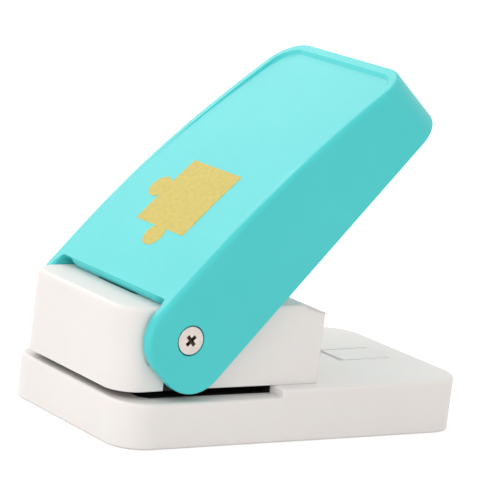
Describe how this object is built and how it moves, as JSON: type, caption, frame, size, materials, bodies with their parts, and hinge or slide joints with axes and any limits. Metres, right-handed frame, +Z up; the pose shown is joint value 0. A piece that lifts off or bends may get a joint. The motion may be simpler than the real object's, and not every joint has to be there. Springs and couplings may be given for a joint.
{
  "type": "craft punch",
  "caption": "Desk craft punch with a long raised lever over a boxed head; pressing it drives a jigsaw-shaped cutter through a die plate in a hollow base.",
  "frame": {"origin": "centre of the footprint, on the plane that the four feet stand on", "axes": "+Z up; -Y is the front, where the paper goes in; +Y is the rear, under the lever's free end; +X is the right-hand side seen from the front"},
  "size_m": [0.057, 0.105, 0.0935],
  "materials": {
    "white_plastic": "satin white plastic",
    "turquoise_plastic": "satin turquoise plastic",
    "black_metal": "black coated metal",
    "steel": "plain steel",
    "foot_rubber": "matte dark rubber"
  },
  "bodies": {
    "base": {"base_shell": "white_plastic", "bottom_cover": "white_plastic", "foot_front_left": "foot_rubber", "foot_front_right": "foot_rubber", "foot_rear_left": "foot_rubber", "foot_rear_right": "foot_rubber", "die_plate": "black_metal", "die_screw_1": "steel", "die_screw_2": "steel", "die_screw_3": "steel", "die_screw_4": "steel", "punch_frame": "black_metal", "frame_screw_1": "steel", "frame_screw_2": "steel", "frame_screw_3": "steel", "frame_screw_4": "steel", "head_cover": "white_plastic", "cover_screw_left": "steel", "cover_screw_right": "steel", "pivot_screw_left": "steel", "pivot_screw_right": "steel", "return_spring_left": "steel", "return_spring_right": "steel"},
    "lever": {"lever_shell": "turquoise_plastic", "roller_pin": "steel"},
    "roller": {"press_roller": "steel"},
    "plunger": {"plunger": "steel", "cutter": "steel", "cutter_screw_1": "steel", "cutter_screw_2": "steel"},
    "latch": {"deck_latch": "white_plastic"}
  },
  "joints": [
    {"name": "lever_press", "type": "hinge", "parent": "base", "child": "lever", "pos_m": [0, -0.0357, 0.027], "axis": [-1, 0, 0], "range_deg": [0, 45], "stiffness_Nm_per_rad": 0.27, "springref_deg": -13.18},
    {"name": "plunger_stroke", "type": "slide", "parent": "base", "child": "plunger", "axis": [0, 0, -1], "range_m": [0, 0.006], "deforming": ["return_spring_left", "return_spring_right"]},
    {"name": "roller_turn", "type": "hinge", "parent": "lever", "child": "roller", "pos_m": [0, -0.02846, 0.03], "axis": [1, 0, 0], "range_deg": [0, 45]},
    {"name": "latch_flex", "type": "hinge", "parent": "base", "child": "latch", "pos_m": [0, 0.044, 0.0128], "axis": [1, 0, 0], "range_deg": [0, 5], "stiffness_Nm_per_rad": 0.3}
  ],
  "couplings": [
    {"joint": "plunger_stroke", "follows": "lever_press", "m_per_rad": 0.0076394},
    {"joint": "roller_turn", "follows": "lever_press", "ratio": 1}
  ]
}
